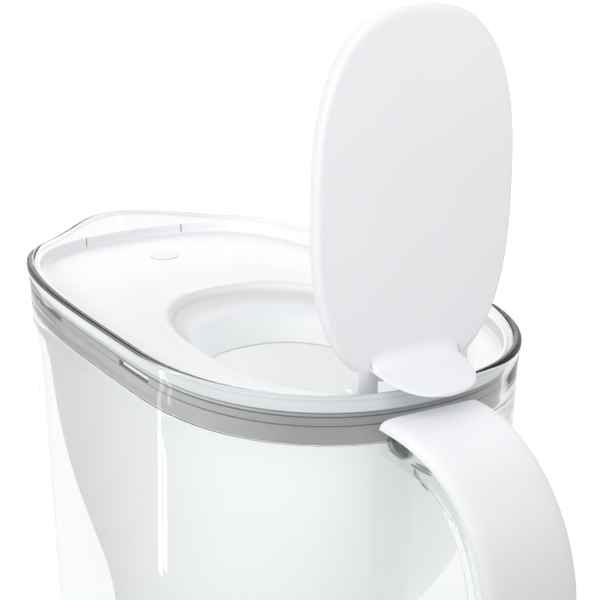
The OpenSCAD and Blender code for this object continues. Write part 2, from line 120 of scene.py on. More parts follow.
# Object at the origin from the points, faces and UVs of a skin, with its normals made to point outwards
def meshPiece(name, skin):
    points, faces, uv = skin
    mesh = bpy.data.meshes.new(name)
    mesh.from_pydata(points.tolist(), [], faces)
    layer = mesh.uv_layers.new(name="along")
    layer.data.foreach_set("uv", uv.astype(np.float32).ravel())
    mesh.update()
    piece = bpy.data.objects.new(name, mesh)
    bpy.context.scene.collection.objects.link(piece)
    bpy.context.view_layer.objects.active = piece
    bpy.ops.object.select_all(action="DESELECT")
    piece.select_set(True)
    bpy.ops.object.mode_set(mode="EDIT")
    bpy.ops.mesh.select_all(action="SELECT")
    bpy.ops.mesh.normals_make_consistent(inside=False)
    bpy.ops.object.mode_set(mode="OBJECT")
    return piece


# The piece's mesh after a union or difference with other meshes, which are then removed
def carved(piece, kind, tools):
    for tool in tools:
        step = piece.modifiers.new("step", "BOOLEAN")
        step.object = tool
        step.operation = kind
        step.solver = "EXACT"
        graph = bpy.context.evaluated_depsgraph_get()
        result = bpy.data.meshes.new_from_object(piece.evaluated_get(graph))
        piece.modifiers.clear()
        piece.data = result
        bpy.data.objects.remove(tool)


# Material set and shading smoothed, but for edges that turn by more than the angle
def finished(piece, material, degrees):
    piece.data.materials.append(material)
    piece.data.shade_smooth()
    piece.data.set_sharp_from_angle(angle=math.radians(degrees))


# Bar with rounded corners in plan: a superellipse of the given power swept from low to high
def roundBar(name, x0, x1, y0, y1, z0, z1, power=10, count=64):
    t = evenAngles(count)
    c, s = np.cos(t), np.sin(t)
    r = ovalRadius(c, s, 1, 1, power)
    x = (x0 + x1) / 2 + (x1 - x0) / 2 * r * c
    y = (y0 + y1) / 2 + (y1 - y0) / 2 * r * s
    return meshPiece(name, ringSkin([np.column_stack([x, y, np.full(count, z)]) for z in (z0, z1)]))


# Round bar from one point to another: two circles square to the line between them
def rod(name, start, end, radius, count=64):
    start, end = np.array(start), np.array(end)
    axis = (end - start) / np.linalg.norm(end - start)
    side = np.cross(axis, [0, 0, 1.0] if abs(axis[2]) < 0.9 else [1.0, 0, 0])
    side /= np.linalg.norm(side)
    up = np.cross(axis, side)
    t = evenAngles(count)[:, None]
    circle = radius * (np.cos(t) * side + np.sin(t) * up)
    return meshPiece(name, ringSkin([start + circle, end + circle]))


# Rod across the piece, about the flap's hinge
def hingeRod(name, y0, y1, radius, count=64):
    return rod(name, (hingeX, y0, hingeZ), (hingeX, y1, hingeZ), radius, count)


# Upright rod on the middle line, at a place x
def uprightRod(name, x, z0, z1, radius):
    return rod(name, (x, 0, z0), (x, 0, z1), radius, 96)


# Smooth curve through the rows of a table: Catmull-Rom between neighbours
def through(rows, steps):
    p = np.asarray(rows, dtype=float)
    p = np.vstack([2 * p[0] - p[1], p, 2 * p[-1] - p[-2]])
    t = np.linspace(0, len(p) - 3, steps)
    k = np.minimum(t.astype(int), len(p) - 4)
    s = (t - k)[:, None]
    a, b, c, d = p[k], p[k + 1], p[k + 2], p[k + 3]
    return 0.5 * (2 * b + (c - a) * s + (2 * a - 5 * b + 4 * c - d) * s ** 2
                  + (3 * b - a - 3 * c + d) * s ** 3)


# Small builder round the node tree of a material or a world; sockets are given by name or number, as
# values or as other outputs
class Finish:
    def __init__(self, name, group=bpy.data.materials):
        self.made = group.new(name)
        self.made.use_nodes = True
        self.tree = self.made.node_tree
        self.tree.nodes.clear()
        self.place = self.add("TexCoord").outputs["Object"]

    # Link to the socket if the value is another output, or else its plain value; colours get their alpha
    def put(self, socket, value):
        if isinstance(value, bpy.types.NodeSocket):
            self.tree.links.new(value, socket)
        elif hasattr(socket.default_value, "__len__") and len(socket.default_value) == len(value) + 1:
            socket.default_value = (*value, 1)
        else:
            socket.default_value = value

    # New node of a kind, with its settings and its sockets; _ stands for a space and i3 for socket 3
    def add(self, kind, settings=None, **sockets):
        made = self.tree.nodes.new("ShaderNode" + kind)
        for key, value in (settings or {}).items():
            setattr(made, key, value)
        for key, value in sockets.items():
            numbered = key[0] == "i" and key[1:].isdigit()
            self.put(made.inputs[int(key[1:]) if numbered else key.replace("_", " ")], value)
        return made

    # One sum of two values, their product and the larger of them
    def math(self, operation, a, b=0.0):
        return self.add("Math", {"operation": operation}, i0=a, i1=b).outputs[0]

    def times(self, a, b):
        return self.math("MULTIPLY", a, b)

    def larger(self, a, b):
        return self.math("MAXIMUM", a, b)

    # Fractal noise from 0 to 1, about 0.5
    def noise(self, scale, detail=2.0, roughness=0.5, vector=None):
        return self.add("TexNoise", Vector=vector or self.place, Scale=scale,
                        Detail=detail, Roughness=roughness).outputs["Fac"]

    # Value mapped from one span to another, clamped
    def span(self, value, fromLow, fromHigh, toLow, toHigh, smooth=False):
        settings = {"interpolation_type": "SMOOTHSTEP"} if smooth else None
        return self.add("MapRange", settings, Value=value, From_Min=fromLow, From_Max=fromHigh,
                        To_Min=toLow, To_Max=toHigh).outputs[0]

    # Noise that wanders from low to high
    def clouds(self, low, high, scale, detail=2.0, roughness=0.5):
        return self.span(self.noise(scale, detail, roughness), 0.3, 0.7, low, high)

    # Colour a * (1 - share) + b * share, or a * b and so on by the blend
    def mix(self, share, a, b, blend="MIX"):
        return self.add("Mix", {"data_type": "RGBA", "blend_type": blend}, i0=share, i6=a, i7=b).outputs[2]

    # Tone that turns to a darker share of itself in slow patches
    def mottled(self, tone, share, scale, detail=2.0):
        return self.mix(self.clouds(0, 1, scale, detail), tone, darker(tone, share))

    # Grey level read off a row of (place, level) stops, from the first place to the last
    def ramp(self, value, stops):
        low, high = stops[0][0], stops[-1][0]
        made = self.add("ValToRGB", Fac=self.span(value, low, high, 0, 1))
        marks = made.color_ramp.elements
        while len(marks) < len(stops):
            marks.new(0.5)
        for mark, (place, level) in zip(marks, stops):
            mark.position = (place - low) / (high - low)
            mark.color = (level, level, level, 1)
        return made.outputs["Color"]

    # Share of 1 inside a narrow line about a middle value, with soft sides
    def line(self, value, middle, half, soft):
        away = self.math("ABSOLUTE", self.math("SUBTRACT", value, middle))
        return self.span(away, half, half + soft, 1, 0, True)

    # Share of 1 that rises over the first span of a value and falls over the second
    def window(self, value, rise, fall, smooth=False):
        return self.times(self.span(value, *rise, 0, 1), self.span(value, *fall, 1, 0, smooth))

    # One coordinate of the place, or of another vector
    def axis(self, name, source=None):
        return self.add("SeparateXYZ", Vector=source or self.place).outputs[name]

    # X of the UV layer is the share of the way round the piece, and Y the value of the ring
    def along(self, name):
        return self.axis(name, self.add("UVMap", {"uv_map": "along"}).outputs["UV"])

    # Normal tilted by the slope of height * distance
    def bump(self, height, distance, strength=1.0):
        return self.add("Bump", Height=height, Distance=distance, Strength=strength).outputs[0]

    # Spark-eroded grain of a moulded face
    def fineGrain(self):
        return self.bump(self.noise(2600, 3, 0.6), 0.000012)

    # Shader a * (1 - share) + b * share
    def blend(self, share, a, b):
        return self.add("MixShader", i0=share, i1=a.outputs[0], i2=b.outputs[0])

    # Principled shader with its plain numbers set on the sockets and the rest linked. With glow, that
    # share of the light comes through from behind; with clearTint, lamps and soft light pass through,
    # all over or by the clearShare
    def surface(self, clearTint=None, glow=None, clearShare=None, **sockets):
        shader = self.add("BsdfPrincipled", **sockets)
        if glow is not None:
            shader = self.blend(glow, shader, self.add("BsdfTranslucent", Color=sockets["Base_Color"]))
        if clearTint is not None:
            path = self.add("LightPath").outputs
            passes = self.larger(path["Is Shadow Ray"], path["Is Diffuse Ray"])
            if clearShare is not None:
                passes = self.times(passes, clearShare)
            shader = self.blend(passes, shader, self.add("BsdfTransparent", Color=clearTint))
        return self.ended(shader)

    # Shader joined to the output, which ends the tree
    def ended(self, shader, kind="OutputMaterial"):
        self.add(kind, Surface=shader.outputs[0])
        return self.made


# Tone * share
def darker(tone, share):
    return tuple(c * share for c in tone)


# Satin moulded plastic: a fine grain, a slow change of tone and slight rub marks; the last argument, if
# given, is a painted shade: the share of the tone by height
def satinPlastic(name, tone, rough, shadeByHeight=None):
    f = Finish(name)
    slow = f.noise(14, 2)
    colour = f.mix(f.span(slow, 0.3, 0.7, 0, 1), tone, darker(tone, 0.965))
    if shadeByHeight:
        colour = f.mix(f.ramp(f.axis("Z"), shadeByHeight), (0, 0, 0), colour)
    rub = f.clouds(rough - 0.05, rough + 0.05, 420, 4, 0.65)
    roughness = f.math("ADD", rub, f.span(slow, 0.3, 0.7, -0.02, 0.02))
    return f.surface(Base_Color=colour, Roughness=roughness, IOR=1.49, Normal=f.fineGrain())


# Clear moulded plastic: faint flow waves and fine polish marks; the fifth argument paints shade into its tint
# by place, and outline is how dark the tint is painted where it is seen edge on, a painted shade; thin is a
# mask of where it bends light least and shines by a coat instead
def clearPlastic(name, tint, index, paintedShade, outline=0.0, thin=None):
    f = Finish(name)
    colour = paintedShade(f, f.mottled(tint, 0.992, 9, 1))
    if outline:
        # Painted shade: the tint turns dark grey where the surface is seen edge on
        facing = f.add("LayerWeight", Blend=0.5).outputs["Facing"]
        colour = f.mix(f.span(facing, 0.72, 0.95, 0, outline), colour, (0.2, 0.21, 0.215))
    coat = 0.0
    if thin:
        coat = thin(f)
        index = f.span(coat, 0, 1, index, 1.1)
    return f.surface(clearTint=(0.985, 0.99, 0.99), Base_Color=colour, Transmission_Weight=1.0, IOR=index,
                     Roughness=f.span(f.noise(1500, 3, 0.7), 0.35, 0.75, 0.005, 0.03),
                     Coat_Weight=coat, Coat_IOR=1.34, Coat_Roughness=0.02,
                     Normal=f.bump(f.noise(38, 2, 0.4), 0.00006, 0.5))


jug = {
    "wall": 0.0022, "floor": 0.003, "footRadius": 0.0035, "cornerRadius": 0.004, "lipDepth": 0.0012,
    "flare": 0.0007, "flareDepth": 0.008, "innerFlare": 0.6,
    # the inner wall grows by this much between the two depths, down to the ledge
    "growth": 0.00064, "growthFrom": 0.004, "growthTo": 0.013,
    "ledgeDrop": 0.0144, "ledgeWidth": 0.0009, "ledgeFade": 0.011,
    "farBulge": 0.0009, "farReach": 0.025, "farRise": 0.0003,
    # the last of these is the tint of the lip's painted shade
    "tint": (0.974, 0.981, 0.981), "index": 1.26, "lipShade": (0.7, 0.71, 0.72),
    "thinFrom": 0.0165, "thinTo": 0.019,
    # painted dark strip down the rear corner, standing in for the wall seen edge on, by share of the way
    # round from the handle, and its tone above and below the ledge
    "edgeShade": ((0, 0), (0.05, 0), (0.062, 1), (0.105, 1), (0.12, 0), (0.4, 0)),
    "edgeShadeAbove": (0.9, 0.895, 0.89), "edgeShadeBelow": (0.6, 0.585, 0.57),
    # strength of the lip's painted shade, by share of the way round from the handle, by the far side, the
    # beak and the near side
    "lipShadeStrength": ((0, 0.6), (0.06, 0.9), (0.12, 0.55), (0.2, 0.25), (0.3, 0.2), (0.38, 0.35), (0.43, 0.8),
                    (0.5, 0.9), (0.6, 0.8), (0.72, 0.7), (0.8, 0.8), (0.9, 0.5), (1, 0.6)),
}


# Outline of the jug at a depth h below the rim: it leans in with depth, the beak fades as
# (1 - h / drop)^1.5, and the far side stands out by a half wave from the middle line
def jugRing(h, inset):
    beak = rim["beak"] * max(0.0, 1 - h / rim["beakDrop"]) ** 1.5
    rise = rim["beakRise"] * max(0.0, 1 - h / 0.012)
    ring = rimRing(rim["height"] - h, rim["draft"] * h + inset, beak, rise)
    far = 0.5 - 0.5 * np.cos(np.clip(ring[:, 1] / jug["farReach"], 0, 1) * math.pi)
    ring[:, 1] += jug["farBulge"] * far
    ring[:, 2] += jug["farRise"] * far * max(0.0, 1 - h / 0.01)
    return ring


# How far the wall flares at a depth: flare * (1 - h / depth), and none below that
def flareAt(h):
    return jug["flare"] * max(0.0, 1 - h / jug["flareDepth"])


# Profile of the jug in rows of depth and inset: up the outside, over the lip and down the inside
def jugProfile():
    height, wall, lip = rim["height"], jug["wall"], jug["lipDepth"]
    foot, corner = jug["footRadius"], jug["cornerRadius"]
    # quarter circle from the underside to the wall, then the wall upwards to the flare
    quarter = math.pi / 2
    rows = [(height - foot * (1 - math.cos(a)), foot * (1 - math.sin(a))) for a in np.linspace(0, quarter, 9)]
    for h in np.concatenate([np.linspace(height - 0.008, 0.09, 14), np.linspace(0.08, 0.012, 18),
                             np.linspace(0.01, 0.0014, 8)]):
        rows.append((h, -flareAt(h)))
    # half circle over the lip
    outer, inner = -flareAt(lip), wall - jug["innerFlare"] * flareAt(lip)
    middle, radius = (outer + inner) / 2, (inner - outer) / 2
    rows += [(lip - lip * math.sin(a), middle - radius * math.cos(a)) for a in np.linspace(0, math.pi, 13)]
    ledge, drop = jug["ledgeWidth"], jug["ledgeDrop"]
    for h in np.linspace(0.002, drop - 0.0002, 10):
        grown = min(1, max(0, (h - jug["growthFrom"]) / (jug["growthTo"] - jug["growthFrom"])))
        rows.append((h, wall - jug["innerFlare"] * flareAt(h) + jug["growth"] * grown))
    # ledge that the collar stands on, and its underside, which fades into the wall as a half wave
    for h, out in ((drop, 0.00068), (drop + 0.0001, ledge - 0.0001), (drop + 0.0004, ledge)):
        rows.append((h, wall + out))
    for share in np.linspace(0.1, 1, 10):
        rows.append((drop + 0.0006 + jug["ledgeFade"] * share,
                     wall + ledge * (0.5 + 0.5 * math.cos(math.pi * share))))
    for h in np.concatenate([np.linspace(0.03, 0.08, 10), np.linspace(0.09, height - 0.012, 14)]):
        rows.append((h, wall))
    # inside corner of the floor
    for a in np.linspace(0, quarter, 7):
        rows.append((height - jug["floor"] - corner * (1 - math.sin(a)), wall + corner * (1 - math.cos(a))))
    return rows


# Painted shade on the lip, standing in for the dark line it shows where it is seen edge on: a line where the
# outer face turns over, strong at the shoulders of the beak and by the handle and faint along the far side
def lipShade(f, colour):
    depth = f.along("Y")
    body = f.times(f.span(depth, 0.0009, 0.0016, 1, 0, True), 0.1)
    edge = f.line(depth, 0.0011, 0.0002, 0.0003)
    dark = f.times(f.ramp(f.along("X"), jug["lipShadeStrength"]), f.larger(edge, body))
    return f.mix(dark, colour, jug["lipShade"])


# Where the wall bends light least: all below the collar
def thinWall(f):
    return f.span(f.along("Y"), jug["thinFrom"], jug["thinTo"], 0, 1, True)


# The lip's painted shade, and a painted dark strip down the rear corner on the far side, standing in for the
# wall seen edge on, which ends below the ledge
def jugShade(f, colour):
    depth = f.along("Y")
    strip = f.times(f.ramp(f.along("X"), jug["edgeShade"]), f.window(depth, (0.003, 0.006), (0.035, 0.05), True))
    tone = f.mix(f.span(depth, 0.0145, 0.0165, 0, 1), jug["edgeShadeAbove"], jug["edgeShadeBelow"])
    return f.mix(strip, lipShade(f, colour), tone)


# Jug: each row of its profile is one ring of its outline
def buildJug():
    rows = jugProfile()
    piece = meshPiece("jugBody", ringSkin([jugRing(h, inset) for h, inset in rows], [h for h, _ in rows]))
    finished(piece, clearPlastic("jugClear", jug["tint"], jug["index"], jugShade, thin=thinWall), 50)
    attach(piece, "jug")
    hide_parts("jug")


buildJug()
print("jug built")

funnel = {
    "collarTop": 0.0055, "collarBottom": 0.0143, "collarInset": 0.0029, "collarThickness": 0.0016,
    "grooveDrop": 0.0091, "wall": 0.0018, "seatDrop": 0.138, "seatX": -0.015, "seatRadius": 0.0298,
    "seatFlange": 0.003, "pocketRadius": 0.036, "blendFrom": 0.018, "blendOver": 0.102, "blendPower": 2.5,
    "lean": 0.022, "windows": ((-0.0314, 0.0108), (0.0295, 0.0087)), "windowTop": 0.007,
    "windowReach": (0.047, 0.056),
    "tone": (0.98, 0.985, 0.98), "through": (0.96, 0.96, 0.96), "glow": 0.52,
    # shade over the near side of the tank, by place from the beak to the handle, and how dark it turns
    "shade": ((-0.09, 1), (-0.05, 1), (-0.01, 0.62), (0.03, 0.25), (0.06, 0.06), (0.1, 0)),
    "shadeShare": 0.56, "insideShade": 0.08,
    # grey of the collar and of its light line along the jug, by the same places, partly their own grey and
    # partly painted shade; the tone of its painted shadow lines and of the painted shadow on its cut edges
    "footTone": ((-0.08, 0.33), (-0.03, 0.34), (0.005, 0.44), (0.03, 0.52), (0.059, 0.55), (0.071, 0.48),
                 (0.083, 0.38), (0.089, 0.4), (0.094, 0.5), (0.1, 0.54)),
    "lightTone": ((-0.08, 0.7), (0.03, 0.85), (0.06, 0.8), (0.09, 0.45), (0.1, 0.42)),
    "shadowLineTone": (0.16, 0.165, 0.17), "cutShadowTone": (0.012, 0.012, 0.014),
}


# Tank's outline: the rim's outline blends into the seat's circle with depth, as ((h - from) / over)^power
def tankRing(h, thick):
    share = min(1, max(0.0, (h - funnel["blendFrom"]) / funnel["blendOver"])) ** funnel["blendPower"]
    inset = funnel["collarInset"] + funnel["collarThickness"] + 0.0002 + funnel["lean"] * h + thick
    upper = rimRing(rim["height"] - h, inset)
    lower = seatRing(rim["height"] - h, funnel["pocketRadius"] - thick)
    return upper * (1 - share) + lower * share


# Circle about the middle of the cartridge's seat
def seatRing(z, r):
    return ovalRing(z, funnel["seatX"], r, r, r, 2)


# Rings down the inside of the collar and the tank, round the seat's edge, and up the outside
def funnelRings():
    height = rim["height"]
    outside = funnel["collarInset"]
    inside = outside + funnel["collarThickness"]
    topZ, bottomZ = height - funnel["collarTop"], height - funnel["collarBottom"]
    depths = np.linspace(funnel["blendFrom"], funnel["seatDrop"], 40)
    seatZ, pocket = height - funnel["seatDrop"], funnel["pocketRadius"]
    underZ = seatZ - funnel["seatFlange"]
    rings = [rimRing(topZ, outside + 0.0004), rimRing(topZ, inside), rimRing(bottomZ, inside)]
    rings += [tankRing(h, funnel["wall"]) for h in depths]
    rings += [seatRing(seatZ - 0.00001, funnel["seatRadius"]), seatRing(underZ, funnel["seatRadius"]),
              seatRing(underZ, pocket - 0.001), seatRing(seatZ - 0.002, pocket)]
    rings += [tankRing(h, 0) for h in depths[::-1]]
    rings += [rimRing(bottomZ, inside + 0.0001), rimRing(bottomZ, outside + 0.0005),
              rimRing(bottomZ + 0.0004, outside + 0.0001)]
    # fine groove between the collar's upper band and its foot
    for h, out in ((0.0003, 0.0001), (0.00015, 0.0005), (-0.00015, 0.0005), (-0.0003, 0.0)):
        rings.append(rimRing(height - (funnel["grooveDrop"] + h), outside + out))
    return rings + [rimRing(topZ - 0.0003, outside)]


# Frosted plastic, shaded towards the beak and inside; the collar is grey, with painted shade along it, a
# painted shadow line at its groove and a painted shadow line and a light one under its top; the windows' cut
# edges, where the ring value is that of the tool that cut them, are painted nearly black as shadow
def funnelFrosted():
    f = Finish("funnelFrosted")
    top, bottom, groove = funnel["collarTop"], funnel["collarBottom"], funnel["grooveDrop"]
    drop = f.math("SUBTRACT", rim["height"], f.axis("Z"))
    across, ring = f.axis("X"), f.along("Y")
    shade = f.times(f.ramp(across, funnel["shade"]), f.span(f.axis("Y"), -0.015, 0.005, 1, 0))
    body = f.mix(shade, f.mottled(funnel["tone"], 0.98, 16, 2), darker(funnel["tone"], funnel["shadeShare"]))
    inside = f.times(f.span(ring, 1.9, 2.0, 0, funnel["insideShade"]), f.span(ring, 2.45, 2.46, 1, 0))
    body = f.mix(inside, body, (0, 0, 0))
    # Painted shadow lines at the groove and under the collar's top, over its grey, which changes along the
    # jug partly as painted shade
    dark = f.larger(f.line(drop, groove, 0.00012, 0.00016), f.line(drop, top + 0.00105, 0.00012, 0.00016))
    collar = f.mix(dark, f.ramp(across, funnel["footTone"]), funnel["shadowLineTone"])
    # Light line under the top, darker towards the handle as painted shade
    light = f.line(drop, top + 0.00045, 0.00022, 0.0001)
    collar = f.mix(light, collar, f.ramp(across, funnel["lightTone"]))
    band = f.span(drop, bottom + 0.0001, bottom + 0.0006, 1, 0, True)
    colour = f.mix(band, body, collar)
    # Painted shadow: the windows' cut edges turn nearly black
    cut = f.times(f.span(ring, 1.0, 1.9, 1, 0), band)
    return f.surface(clearTint=funnel["through"], glow=funnel["glow"], IOR=1.47,
                     Base_Color=f.mix(cut, colour, funnel["cutShadowTone"]), Roughness=f.clouds(0.42, 0.5, 600, 3),
                     Normal=f.bump(f.noise(500, 2), 0.000005))


# Funnel: a closed loop of rings, with two windows cut in each side of its collar
def buildFunnel():
    rings = funnelRings()
    piece = meshPiece("funnelTank", ringSkin(rings, np.linspace(2, 3, len(rings)), loop=True))
    low, high = (rim["height"] - funnel[drop] for drop in ("grooveDrop", "windowTop"))
    for middle, half in funnel["windows"]:
        for side in (-1, 1):
            reach = sorted(side * y for y in funnel["windowReach"])
            tool = roundBar("windowTool", middle - half, middle + half, *reach, low, high, 40, 48)
            carved(piece, "DIFFERENCE", [tool])
    finished(piece, funnelFrosted(), 38)
    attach(piece, "funnel")
    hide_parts("funnel")


buildFunnel()
print("funnel built")

lid = {
    "deckDrop": 0.0048, "deckThickness": 0.0006, "underside": 0.0016,
    "curbInset": 0.0026, "curbThickness": 0.001, "curbHeight": 0.0033, "curbBeak": 0.0022,
    "skirtInset": 0.0048, "skirtBottom": 0.0125, "skirtThickness": 0.0012, "bowlPower": 2.45,
    # drop below the rim, middle, front length, rear length, half width
    "bowl": ((0.0, 0.034, 0.0510, 0.0495, 0.0332), (0.0005, 0.034, 0.0503, 0.0490, 0.0323),
             (0.0015, 0.0345, 0.0500, 0.0480, 0.0315), (0.0027, 0.0355, 0.0497, 0.0460, 0.0308),
             (0.0040, 0.0380, 0.0482, 0.0420, 0.0294), (0.0056, 0.0405, 0.0458, 0.0380, 0.0282),
             (0.0082, 0.0415, 0.0440, 0.0358, 0.0274), (0.0147, 0.042, 0.0426, 0.0345, 0.0268)),
    "pocketFront": 0.070, "pocketRear": 0.0893, "pocketHalf": 0.0188, "pocketDrop": 0.011,
    "pocketWall": 0.0015, "hingeX": 0.0848, "hingeDrop": 0.0052, "earInside": 0.0177, "earRadius": 0.0033,
    "boreHalf": 0.0191, "boreRadius": 0.00165,
    "indicatorX": -0.0554, "buttonRadius": 0.0046, "buttonGap": 0.00006,
    "seatRadius": 0.017, "seatDrop": 0.0086, "roomRadius": 0.0152, "roomDrop": 0.012,
    # lugs in the funnel's windows: distances from the middle at the front and the rear ones, and depths
    "lugFront": (0.0470, 0.0482), "lugRear": (0.0484, 0.0501), "lugDrops": (0.0088, 0.0052), "lugMark": 10,
    # short marks in the curb: place x and y, turn in degrees
    "slits": ((-0.0772, -0.0178, 90), (-0.0772, 0.0178, 90), (-0.0601, -0.0438, -38)),
    "tone": (0.975, 0.985, 0.995), "bowlGlow": 0.5, "through": (0.98, 0.98, 0.98),
    # painted shade and light as a share of the tone, by place: -1 bowl's foot, 0 its lip, 1 foot of the curb,
    # 2 to 3 its top, 4 underside; darkest on the bowl's slope below its lip, full down in the bowl and darker
    # on the deck by the lip
    "shadeLevels": ((-1, 1), (-0.4, 1), (-0.32, 0.93), (-0.28, 0.84), (-0.24, 0.77), (-0.19, 0.76),
               (-0.15, 0.78), (-0.1, 0.88), (-0.04, 0.89), (0, 0.79), (0.2, 0.775), (0.6, 0.84),
               (1, 0.85), (1.4, 0.94), (2, 0.94), (2.5, 0.9), (5, 0.85)),
    # share of the lamps' light that passes, by the same places
    "clear": ((-1, 1), (-0.1, 1), (0, 0.95), (1, 0.95), (1.2, 0), (4.4, 0), (4.9, 0.95),
              (5, 0.95)),
    # deck's painted shade towards the near side, and painted shade on the curb's faces from the beak to the
    # handle
    "nearShade": ((-0.05, 0.88), (-0.044, 0.92), (-0.036, 0.975), (-0.024, 1), (0.05, 1)),
    "curbOutside": ((-0.08, 0.9), (0, 0.87), (0.06, 0.71), (0.085, 0.72), (0.1, 0.69)),
    "curbInside": ((-0.1, 1), (-0.045, 1), (-0.01, 0.78), (0.1, 0.78)),
    # tone of the painted shadow line along the lower edge of the curb's outer face
    "edgeShadowTone": (0.30, 0.31, 0.32),
    # the lugs' painted shade, as their level from foot to top
    "lugLevels": ((10, 0.35), (10.04, 0.5), (10.1, 1), (11, 1)),
}
hingeX, hingeZ = lid["hingeX"], rim["height"] - lid["hingeDrop"]


# Ring of the bowl: a row of its table, moved outwards and down
def bowlRing(row, out=0.0, down=0.0):
    drop, centre, front, rear, half = row
    return ovalRing(rim["height"] - lid["deckDrop"] - drop - down, centre, front + out, rear + out,
                    half + out, lid["bowlPower"])


# Satin white with painted shade on the bowl's slope and the curb and painted light down in the bowl, where it
# is also clearer to the lamps' light
def lidPlastic():
    f = Finish("lidWhite")
    place, across = f.along("Y"), f.axis("X")
    deck = f.window(place, (-0.05, 0.05), (0.95, 1.05))
    near = f.mix(deck, (1, 1, 1), f.ramp(f.axis("Y"), lid["nearShade"]))
    level = f.add("VectorMath", {"operation": "MULTIPLY"}, i0=f.ramp(place, lid["shadeLevels"]),
                  i1=near).outputs[0]
    # Painted shade on the curb's inner and outer faces along the jug, a painted shadow line at the foot of
    # its outer face and painted shade at the lugs' feet
    level = f.mix(f.window(place, (1.2, 1.6), (2.0, 2.5)), level, f.ramp(across, lid["curbInside"]))
    level = f.mix(f.window(place, (3.0, 3.2), (4.5, 4.9)), level, f.ramp(across, lid["curbOutside"]))
    level = f.mix(f.window(place, (3.95, 4.0), (4.5, 4.9)), level, lid["edgeShadowTone"])
    level = f.mix(f.span(place, 8.0, 9.0, 0, 1), level, f.ramp(place, lid["lugLevels"]))
    colour = f.mix(1.0, f.mottled(lid["tone"], 0.975, 14, 2), level, "MULTIPLY")
    return f.surface(clearTint=lid["through"], glow=f.span(place, -0.4, -0.1, lid["bowlGlow"], 0),
                     clearShare=f.ramp(place, lid["clear"]), Base_Color=colour, IOR=1.49,
                     Roughness=f.clouds(0.32, 0.42, 420, 4, 0.65), Normal=f.fineGrain())


# Rings up the bowl, over the deck to the curb, over it, down the skirt and back under the bowl, each with its
# place for the painted shade levels
def lidRings():
    height, skirt, under = rim["height"], lid["skirtInset"], lid["underside"]
    deckZ = height - lid["deckDrop"]
    t, top = lid["curbThickness"], lid["curbHeight"]
    bowl = through(lid["bowl"], 43)
    rings = [bowlRing(row) for row in bowl[::-1]]
    places = list(-bowl[::-1, 0] / bowl[-1, 0])
    # the curb's section: height over the deck, distance inside its outer face, place
    section = np.array([(0.0, t + 0.0009, 1.0), (0.0001, t + 0.0005, 1.2), (0.0004, t + 0.0002, 1.4),
                        (0.0009, t, 1.6), (top - 0.0003, t - 0.0002, 2.0), (top - 0.00008, t - 0.00028, 2.2),
                        (top, t - 0.0005, 2.5), (top, 0.0004, 2.8), (top - 0.0001, 0.0001, 3.0),
                        (top - 0.0004, 0.0, 3.2), (-0.0004, 0.0, 4.0), (-lid["deckThickness"], 0.0002, 4.4)])
    curb = [rimRing(deckZ + up, lid["curbInset"] + inside, lid["curbBeak"]) for up, inside, _ in section]
    lip, shares = rings[-1], (0.04, 0.2, 0.4, 0.6, 0.8)
    rings += [lip * (1 - s) + curb[0] * s for s in shares] + curb
    places += [*shares, *section[:, 2]]
    for z, inset in ((deckZ - lid["deckThickness"], skirt), (height - lid["skirtBottom"], skirt),
                     (height - lid["skirtBottom"], skirt + lid["skirtThickness"]),
                     (deckZ - under, skirt + lid["skirtThickness"])):
        rings.append(rimRing(z, inset))
    rings += [bowlRing(row, under, under) for row in bowl[1:-1]]
    rings += [bowlRing(bowl[-1], under, 0), bowlRing(bowl[-1], under - 0.0004, 0.0006),
              bowlRing(bowl[-1], 0.0003, 0.0006)]
    return rings, places + [5.0] * (len(rings) - len(places))


# Lug of the lid in one of the funnel's windows, with its ring values raised so that its painted shade can be
# told
def windowLug(middle, half, side):
    y0, y1 = sorted(side * y for y in lid["lugFront" if middle < 0 else "lugRear"])
    low, high = (rim["height"] - drop for drop in lid["lugDrops"])
    lug = roundBar("lug", middle - half + 0.0003, middle + half - 0.0003, y0, y1, low, high, 30)
    marks = np.empty(len(lug.data.loops) * 2, dtype=np.float32)
    layer = lug.data.uv_layers["along"].data
    layer.foreach_get("uv", marks)
    marks[1::2] += lid["lugMark"]
    layer.foreach_set("uv", marks)
    return lug


